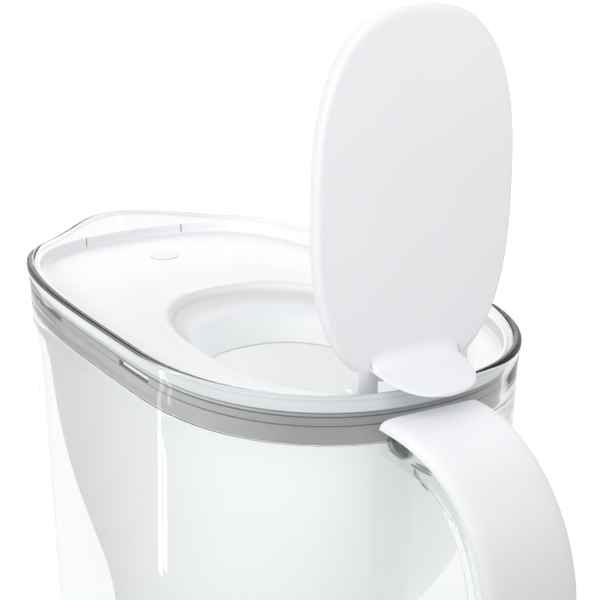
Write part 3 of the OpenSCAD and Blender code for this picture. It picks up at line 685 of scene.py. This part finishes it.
# Lid: a closed loop of rings. The hinge's pocket and the indicator's seat are added, the pocket cut
# out, the ears and lugs added, and the bores, the indicator's room and the curb's marks cut out
def buildLid():
    rings, places = lidRings()
    piece = meshPiece("lidDeck", ringSkin(rings, places, loop=True))
    height, half, wall = rim["height"], lid["pocketHalf"], lid["pocketWall"]
    deckZ, pocketZ = height - lid["deckDrop"], height - lid["pocketDrop"]
    x, roomZ, underZ = lid["indicatorX"], height - lid["roomDrop"], deckZ - 0.0004
    carved(piece, "UNION", [
        roundBar("pocketShell", 0.0783, 0.0868, -half - wall, half + wall, pocketZ - wall, underZ, 12),
        uprightRod("indicatorSeat", x, height - lid["seatDrop"], underZ, lid["seatRadius"])])
    carved(piece, "DIFFERENCE", [roundBar("pocketTool", lid["pocketFront"], lid["pocketRear"], -half, half,
                                          pocketZ, height + 0.02, 14, 96)])
    r = lid["earRadius"]
    for side in (-1, 1):
        ends = (side * lid["earInside"], side * (half + 0.0004))
        carved(piece, "UNION", [
            hingeRod("hingeEar", *ends, r),
            roundBar("earFoot", hingeX - r, hingeX + r, *sorted(ends), pocketZ - 0.0005, hingeZ, 20)])
        carved(piece, "UNION", [windowLug(middle, length, side) for middle, length in funnel["windows"]])
    carved(piece, "DIFFERENCE", [
        hingeRod("stubHole", -lid["boreHalf"], lid["boreHalf"], lid["boreRadius"], 48),
        uprightRod("buttonHole", x, roomZ, height + 0.01, lid["buttonRadius"] + lid["buttonGap"]),
        uprightRod("housingRoom", x, roomZ, deckZ - lid["underside"], lid["roomRadius"])])
    for slitX, slitY, angle in lid["slits"]:
        blade = roundBar("slitTool", -0.0002, 0.0002, -0.003, 0.003, deckZ + 0.0004, deckZ + 0.006, 8, 16)
        turn = Matrix.Rotation(math.radians(angle), 4, "Z")
        blade.data.transform(Matrix.Translation((slitX, slitY, 0)) @ turn)
        carved(piece, "DIFFERENCE", [blade])
    finished(piece, lidPlastic(), 32)
    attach(piece, "lid")
    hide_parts("lid_deck")


buildLid()
print("lid built")

flap = {
    "faceX": 0.087, "foot": 0.2543, "halfLength": 0.0481, "halfWidth": 0.0299, "power": 2.6,
    "edge": 0.0039, "edgeRound": 0.0012, "dome": 0.0016, "plate": 0.002, "tone": (0.825, 0.833, 0.845),
    "tabLength": 0.0173, "tabHalf": 0.0138, "tabRoot": 0.2588, "tabThickness": 0.0017, "tabDrop": 0.0034,
    "tabPower": 2.6, "tabRounding": 3.2, "tabDroop": 1.25, "tabSink": 0.0012,
    "filletHeight": 0.0046, "filletReach": 0.005,
    "legEnds": (0.0109, 0.0174), "legDepth": 0.003, "barrelRadius": 0.0026,
    "stubEnds": (0.017, 0.0188), "stubRadius": 0.0016,
}


# Ring of the flap: share of its outline and depth behind its face, which is domed by dome * (1 - share^2)
def flapRing(share, depth, count=192):
    xy = oval(evenAngles(count), 0, flap["halfLength"] * share, flap["halfLength"] * share,
              flap["halfWidth"] * share, flap["power"], flap["power"])
    return np.column_stack([np.full(count, flap["faceX"] - depth), xy[:, 1],
                            flap["foot"] + flap["halfLength"] + xy[:, 0]])


# Rings from the middle of the face over its rounded edge to the middle of the back
def flapRings():
    dome, edge, plate = flap["dome"], flap["edge"], flap["plate"]
    faceShares = (0.01, 0.1, 0.2, 0.3, 0.4, 0.5, 0.6, 0.7, 0.8, 0.87, 0.92, 0.95)
    rings = [flapRing(s, -dome * (1 - s * s)) for s in faceShares]
    for angle in np.linspace(0.1, math.pi / 2, 7):
        share = 1 - flap["edgeRound"] / flap["halfWidth"] * (1 - math.sin(angle))
        rings.append(flapRing(share, 0.0011 * (1 - math.cos(angle)) - dome * (1 - share ** 2)))
    for share, depth in ((1, edge - 0.0004), (0.996, edge - 0.0001), (0.99, edge), (0.965, edge),
                         (0.955, edge - 0.0003)):
        rings.append(flapRing(share, depth))
    backShares = (0.945, 0.93, 0.85, 0.7, 0.5, 0.3, 0.1, 0.01)
    return rings + [flapRing(s, plate - dome * (1 - s * s)) for s in backShares]


# Thumb tab at a distance x: its half width, the height of its underside and its thickness. The plan is
# a superellipse, and the underside droops as a power of the share u of its length
def tabPlan(x):
    u = np.clip((x - flap["faceX"] + flap["tabSink"]) / (flap["tabLength"] + 0.0006), 0, 0.999)
    half = flap["tabHalf"] * (1 - u ** flap["tabPower"]) ** (1 / flap["tabPower"])
    under = flap["tabRoot"] - flap["tabDrop"] * u ** flap["tabDroop"]
    return half, under, flap["tabThickness"] * (1 - 0.4 * u)


# Rings along the tab, closer together towards its end: superellipses of its width and thickness
def tabRings(count=40, around=48):
    u = 1 - (1 - np.linspace(0, 0.999, count)) ** 1.6
    x = flap["faceX"] - flap["tabSink"] + (flap["tabLength"] + 0.0006) * u
    half, under, thick = (row[:, None] for row in tabPlan(x))
    t = evenAngles(around)
    c, s = np.cos(t), np.sin(t)
    r = ovalRadius(c, s, 1, 1, flap["tabRounding"])
    return np.stack([np.broadcast_to(x[:, None], (count, around)), half * r * c,
                     under + thick / 2 * (1 + r * s)], axis=-1)


# Fillet between the face and the tab: sections across, each a quarter ellipse that leaves the face
# straight down and meets the tab's upper side level with it
def filletRings(count=41, steps=18):
    rings = []
    turn = np.linspace(0, math.pi / 2, steps)
    for y in np.linspace(-0.99, 0.99, count) * flap["tabHalf"]:
        room = (1 - np.abs(y / flap["tabHalf"]) ** flap["tabPower"]) ** (1 / flap["tabPower"])
        up = flap["filletHeight"] * room ** 0.6 * (1 - np.sin(turn))
        out = flap["filletReach"] * room * (1 - np.cos(turn))
        z = flap["tabRoot"] + flap["tabThickness"] + up
        share = (np.abs((z - flap["foot"] - flap["halfLength"]) / flap["halfLength"]) ** flap["power"]
                 + np.abs(y / flap["halfWidth"]) ** flap["power"]) ** (1 / flap["power"])
        x = flap["faceX"] + flap["dome"] * (1 - share ** 2) + out
        half, under, thick = tabPlan(x)
        edge = (1 - np.clip(np.abs(y) / half, 0, 0.999) ** flap["tabRounding"]) ** (1 / flap["tabRounding"])
        top = under + thick / 2 * (1 + edge)
        curve = np.column_stack([x, np.full(steps, y), top + up])
        back = np.array([[x[-1], y, top[-1] - 0.0006], [x[0] - 0.0008, y, top[0] - 0.0006],
                         [x[0] - 0.0008, y, top[0] + up[0]]])
        rings.append(np.vstack([curve, back]))
    return rings


# Flap: its plate joined with the tab, the fillet and a leg, barrel and stub at each side
def buildFlap():
    piece = meshPiece("flipFlap", ringSkin(flapRings()))
    carved(piece, "UNION", [meshPiece("tabTool", ringSkin(tabRings())),
                            meshPiece("filletTool", ringSkin(filletRings()))])
    for side in (-1, 1):
        leg = sorted(side * y for y in flap["legEnds"])
        stub = (side * y for y in flap["stubEnds"])
        carved(piece, "UNION", [
            roundBar("hingeLeg", flap["faceX"] - flap["legDepth"], flap["faceX"] - 0.0001, *leg, hingeZ,
                     flap["foot"] + 0.005, 12),
            hingeRod("hingeBarrel", *leg, flap["barrelRadius"]),
            hingeRod("hingeStub", *stub, flap["stubRadius"], 48)])
    finished(piece, satinPlastic("flapWhite", flap["tone"], 0.52), 30)
    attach(piece, "flap")
    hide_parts("flap")


buildFlap()
print("flap built")

handle = {
    "rootX": 0.0972, "reach": 0.141, "top": 0.2495, "upper": 0.046, "lower": 0.118,
    "rootHalf": 0.0158, "gripHalf": 0.014, "rootFade": 0.021,
    # sections, outside and inside: share of the half width, less this, and depth below the crown
    "cover": (((0, 0, 0), (0.4, 0, 0.0001), (0.75, 0, 0.00045), (1, 0.0016, 0.001), (1, 0.0004, 0.002),
               (1, 0, 0.0032)),
              ((0, 0, 0.0022), (0.4, 0, 0.0023), (0.72, 0, 0.0026), (1, 0.002, 0.0032))),
    "channel": (((0, 0, 0.012), (0.35, 0, 0.01195), (0.6, 0, 0.01185), (1, 0.002, 0.0109),
                 (1, 0.0007, 0.009), (1, 0.0004, 0.0034)),
                ((0, 0, 0.0102), (0.6, 0, 0.01005), (1, 0.0034, 0.0093), (1, 0.0025, 0.008),
                 (1, 0.0022, 0.0034))),
    "upperPower": 2.17, "lowerPower": 2.3, "coverInto": 0.00015, "frameInto": -0.0004,
    "tone": (0.86, 0.868, 0.88), "frameTint": (0.965, 0.975, 0.972), "frameIndex": 1.08, "outline": 0.8,
    # painted shade on the cover, darker low down: the share of the tone by height
    "shadeByHeight": ((0.1, 0.78), (0.2, 0.78), (0.225, 0.82), (0.24, 0.89), (0.2485, 1), (0.26, 1)),
    # painted shade of the frame's hollows by its root: middle x, half, middle z, half
    "hollows": ((0.1021, 0.0044, 0.2442, 0.0029), (0.1112, 0.0040, 0.2414, 0.0005)),
    "hollowShadeTone": (0.22, 0.225, 0.23),
}


# Crown of the handle: a squared arc about the grip's middle, with a power of its own above and below it
def crownPoint(angles):
    c, s = np.cos(angles), np.sin(angles)
    power = np.where(s > 0, handle["upperPower"], handle["lowerPower"])
    tall = np.where(s > 0, handle["upper"], handle["lower"])
    r = ovalRadius(c, s, handle["reach"] - handle["rootX"], tall, power)
    return np.column_stack([handle["rootX"] + r * c, handle["top"] - handle["upper"] + r * s])


# Distance from the middle to the jug's rear wall at a side distance and height: the rim's superellipse,
# leaned in by the draft
def rearWall(y, z):
    inset = rim["draft"] * (rim["height"] - z)
    return rim["widestX"] + (rim["rear"] - inset) * (
        1 - np.abs(y / (rim["halfWidth"] - inset)) ** rim["rearPower"]) ** (1 / rim["rearPower"])


# Section [side, depth below the crown] carried along the crown, narrowed away from its roots by a bell
# curve and ended on the jug's wall
def handleRings(section, into, count=121):
    k = np.linspace(-1, 1, count)
    angles = -np.sign(k) * np.abs(k) ** 0.85 * math.pi / 2
    crown = crownPoint(angles)
    ahead, behind = (crownPoint(np.clip(angles + step, -math.pi / 2, math.pi / 2)) for step in (0.01, -0.01))
    along = (ahead - behind) / np.linalg.norm(ahead - behind, axis=1)[:, None]
    normal = np.column_stack([along[:, 1], -along[:, 0]])
    reach = np.minimum(np.linalg.norm(crown - crown[0], axis=1), np.linalg.norm(crown - crown[-1], axis=1))
    bell = np.exp(-(reach / handle["rootFade"]) ** 2)
    share = (handle["gripHalf"] + (handle["rootHalf"] - handle["gripHalf"]) * bell) / handle["rootHalf"]
    side, depth = section[:, 0], section[:, 1]
    rings = np.stack([crown[:, 0, None] - normal[:, 0, None] * depth, share[:, None] * side,
                      crown[:, 1, None] - normal[:, 1, None] * depth], axis=-1)
    first, last = (np.column_stack([rearWall(side, z) + into, side, z])
                   for z in (crown[0, 1] - depth, crown[-1, 1] + depth))
    return np.concatenate([first[None], rings, last[None]])


# Half a section, smoothed through its points, mirrored to the other side and closed into a loop
def bothSides(section, steps=25):
    half = handle["rootHalf"]
    halfOut, halfIn = (through([(half * share - less, depth) for share, less, depth in rows], steps)
                       for rows in section)
    right = np.vstack([halfOut, halfIn[::-1]])
    left = right[::-1] * [-1, 1]
    return np.vstack([right, left[(left[:, 0] < -1e-6)]])


# Painted shade of the hollows seen in the clear frame near its upper root: dark ellipses with soft edges, on
# its near side only
def rootShade(f, colour):
    shade = 0.0
    for x, halfX, z, halfZ in handle["hollows"]:
        across = f.math("DIVIDE", f.math("SUBTRACT", f.axis("X"), x), halfX)
        up = f.math("DIVIDE", f.math("SUBTRACT", f.axis("Z"), z), halfZ)
        away = f.math("ADD", f.times(across, across), f.times(up, up))
        shade = f.larger(f.span(away, 0.8, 1.3, 1, 0, True), shade)
    nearSide = f.span(f.axis("Y"), -0.0125, -0.0115, 1, 0)
    return f.mix(f.times(shade, nearSide), colour, handle["hollowShadeTone"])


# Handle: a thin domed cover over a clear channel that is open towards the cover
def buildHandle():
    piece = meshPiece("gripCover", ringSkin(handleRings(bothSides(handle["cover"]), handle["coverInto"])))
    finished(piece, satinPlastic("gripWhite", handle["tone"], 0.52, handle["shadeByHeight"]), 45)
    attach(piece, "jug")
    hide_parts("handle_cover")
    piece = meshPiece("gripFrame", ringSkin(handleRings(bothSides(handle["channel"]), handle["frameInto"])))
    finished(piece, clearPlastic("frameClear", handle["frameTint"], handle["frameIndex"], rootShade,
                                 handle["outline"]), 45)
    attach(piece, "jug")
    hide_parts("handle_frame")


buildHandle()
print("handle built")

# Finishes of the parts kept from the frame: name, tone and roughness
keptFinishes = {
    "indicator_button": ("buttonLens", (0.79, 0.812, 0.812), 0.45),
    "indicator_housing": ("housingGrey", (0.6, 0.62, 0.64), 0.5),
    "housing_cover": ("coverGrey", (0.58, 0.6, 0.62), 0.5),
    "key_dome": ("domeRubber", (0.05, 0.055, 0.06), 0.7),
    "housing_seal": ("sealRubber", (0.04, 0.042, 0.045), 0.75),
    "cartridge_seal": ("seatRubber", (0.16, 0.165, 0.17), 0.7),
    "tact_switch": ("switchBlack", (0.03, 0.03, 0.032), 0.45),
    "led": ("lampWhite", (0.8, 0.83, 0.78), 0.2),
    "cartridge_shell": ("cartridgeWhite", (0.78, 0.8, 0.83), 0.4),
    "cartridge_cap": ("capWhite", (0.78, 0.8, 0.83), 0.38),
    "upper_screen": ("upperMesh", (0.55, 0.58, 0.6), 0.6),
    "lower_screen": ("lowerMesh", (0.55, 0.58, 0.6), 0.6),
}
# and of those in metal: name, tone, roughness and how finely the streaks repeat along each axis
metalFinishes = {
    "coin_cell": ("cellSteel", (0.62, 0.62, 0.6), 0.22, (60, 900, 60)),
    "housing_screws": ("screwSteel", (0.55, 0.55, 0.54), 0.25, (400, 400, 2500)),
    "cell_clip": ("clipBrass", (0.62, 0.42, 0.14), 0.25, (80, 1400, 80)),
}


# Turned or rolled metal: roughness streaks along one axis over a flat tone
def workedMetal(name, tone, rough, stretch):
    f = Finish(name)
    lanes = f.add("Mapping", Vector=f.place, Scale=stretch).outputs[0]
    streak = f.noise(1, 4, 0.7, lanes)
    colour = f.mix(f.span(f.noise(900, 2), 0.45, 0.75, 0, 1), tone, darker(tone, 0.8))
    return f.surface(Base_Color=colour, Metallic=1.0, Roughness=f.span(streak, 0.3, 0.7, rough, rough + 0.18),
                     Normal=f.bump(streak, 0.000006))


# Lacquered board: copper lanes seen faintly under green lacquer
def lacquerBoard(name):
    f = Finish(name)
    lanes = f.add("TexWave", {"bands_direction": "DIAGONAL"}, Vector=f.place, Scale=420,
                  Distortion=6).outputs["Fac"]
    colour = f.mix(f.span(lanes, 0.55, 0.62, 0, 1), (0.015, 0.12, 0.05), (0.03, 0.22, 0.09))
    return f.surface(Base_Color=colour, Roughness=f.clouds(0.22, 0.36, 800), Coat_Weight=0.4,
                     Normal=f.bump(lanes, 0.00003))


# Loose grains: cells of dark carbon with a few pale resin beads
def grainBed(name):
    f = Finish(name)
    cells = f.add("TexVoronoi", Vector=f.place, Scale=1100)
    pale = f.span(f.axis("X", cells.outputs["Color"]), 0.72, 0.76, 0, 1)
    colour = f.mix(pale, (0.018, 0.017, 0.016), (0.42, 0.34, 0.22))
    return f.surface(Base_Color=colour, Roughness=0.75, Normal=f.bump(cells.outputs["Distance"], 0.0005))


# Material put in the place of a kept part's own
def setFinish(node, material):
    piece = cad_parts[node]
    piece.data.materials.clear()
    piece.data.materials.append(material)


for node, settings in keptFinishes.items():
    setFinish(node, satinPlastic(*settings))
for node, settings in metalFinishes.items():
    setFinish(node, workedMetal(*settings))
setFinish("circuit_board", lacquerBoard("boardLacquer"))
setFinish("media_bed", grainBed("filterGrains"))
print("finishes set")

studio = {
    "floorHalf": 2.2, "floorPoints": 24, "floorZ": -0.0002, "floorTone": (0.8, 0.8, 0.8),
    # light that the floor adds of its own: seen directly near the object and far off, and through it
    "floorNear": 0.25, "floorFar": 0.75, "floorThrough": 0.22,
    "worldTone": (0.975, 0.985, 1.0), "worldStrength": 0.69,
    # name, place, what it faces, size, watts, and which way its long side stands
    "lamps": (("frontSoftbox", (0.2, -1.2, 0.6), (0.03, 0, 0.2), (0.9, 0.7), 5.8),
              ("backSoftbox", (-0.9, 0.5, 0.9), (0.03, 0, 0.2), (0.9, 0.9), 3.4),
              ("topSoftbox", (0.35, -0.15, 0.75), (0.06, 0, 0.25), (0.4, 0.4), 0.48),
              ("highSoftbox", (0.40, 0.10, 0.54), (0.09, 0, 0.32), (0.25, 0.25), 0.36),
              ("stripLight", (-0.0985, -0.163, 0.141), (0.045, -0.053, 0.225), (0.009, 0.086), 0.0085,
               (0.046, -0.242, 0.969))),
    "target": (0.0307, 0.0, 0.26), "azimuth": 58.42, "elevation": 18.05, "distance": 0.4572,
    "lens": 96.04, "roll": 0.34,
}


# Level grid of points, plain white, that turns paler with the distance so that it meets the background
def buildFloor():
    n = studio["floorPoints"]
    steps = np.linspace(-studio["floorHalf"], studio["floorHalf"], n)
    x, y = np.meshgrid(steps, steps)
    points = np.column_stack([x.ravel(), y.ravel(), np.full(n * n, studio["floorZ"])])
    i = (np.arange(n - 1)[:, None] * n + np.arange(n - 1)).ravel()
    faces = np.column_stack([i, i + 1, i + n + 1, i + n]).tolist()
    mesh = bpy.data.meshes.new("floor")
    mesh.from_pydata(points.tolist(), [], faces)
    floor = bpy.data.objects.new("floor", mesh)
    bpy.context.scene.collection.objects.link(floor)
    f = Finish("floorWhite")
    shader = f.add("BsdfDiffuse", Color=f.mottled(studio["floorTone"], 0.99, 6))
    path = f.add("LightPath").outputs
    away = f.add("VectorMath", {"operation": "LENGTH"}, i0=f.place).outputs["Value"]
    direct = f.times(path["Is Camera Ray"],
                     f.span(away, 0.25, 0.9, studio["floorNear"], studio["floorFar"], True))
    passing = f.times(f.larger(path["Is Transmission Ray"], path["Is Glossy Ray"]), studio["floorThrough"])
    lift = f.add("Emission", Color=(1, 1, 1), Strength=f.math("ADD", direct, passing))
    mesh.materials.append(f.ended(f.add("AddShader", i0=shader.outputs[0], i1=lift.outputs[0])))


# Rotation whose X, Y and Z axes are the three given directions
def facing(right, up, back):
    return Matrix((right, up, back)).transposed().to_quaternion()


# Rectangular lamp that faces a point, with its long side turned the given way up
def areaLamp(name, place, aim, size, watts, up=(0, 0, 1)):
    data = bpy.data.lights.new(name, "AREA")
    data.shape = "RECTANGLE"
    data.size, data.size_y = size
    data.energy = watts
    lamp = bpy.data.objects.new(name, data)
    lamp.location = place
    back = (Vector(place) - Vector(aim)).normalized()
    across = Vector(up).cross(back).normalized()
    lamp.rotation_mode = "QUATERNION"
    lamp.rotation_quaternion = facing(across, back.cross(across), back)
    lamp.visible_camera = False
    bpy.context.scene.collection.objects.link(lamp)


# Soft white light from all round, and plain white where the camera sees it directly, through or in gloss
def buildWorld():
    f = Finish("studio", bpy.data.worlds)
    path = f.add("LightPath").outputs
    seen = f.larger(f.larger(path["Is Camera Ray"], path["Is Transmission Ray"]), path["Is Glossy Ray"])
    lit = f.add("Background", Color=studio["worldTone"], Strength=studio["worldStrength"])
    plain = f.add("Background", Color=(1, 1, 1), Strength=1.0)
    bpy.context.scene.world = f.ended(f.blend(seen, lit, plain), "OutputWorld")


# Camera on a line at the given azimuth and elevation from its target, rolled a little about that line
def buildCamera():
    a, e = math.radians(studio["azimuth"]), math.radians(studio["elevation"])
    back = Vector((math.sin(a) * math.cos(e), -math.cos(a) * math.cos(e), math.sin(e)))
    data = bpy.data.cameras.new("camera")
    data.lens = studio["lens"]
    data.sensor_width = 36
    data.clip_start = 0.01
    camera = bpy.data.objects.new("camera", data)
    camera.location = Vector(studio["target"]) + back * studio["distance"]
    right = Vector((math.cos(a), math.sin(a), 0))
    up = back.cross(right)
    r = math.radians(studio["roll"])
    camera.rotation_mode = "QUATERNION"
    camera.rotation_quaternion = facing(right * math.cos(r) + up * math.sin(r),
                                        up * math.cos(r) - right * math.sin(r), back)
    bpy.context.scene.collection.objects.link(camera)
    bpy.context.scene.camera = camera


buildFloor()
buildWorld()
for lamp in studio["lamps"]:
    areaLamp(*lamp)
buildCamera()
bpy.context.scene.view_settings.view_transform = "Standard"
print("stage built")
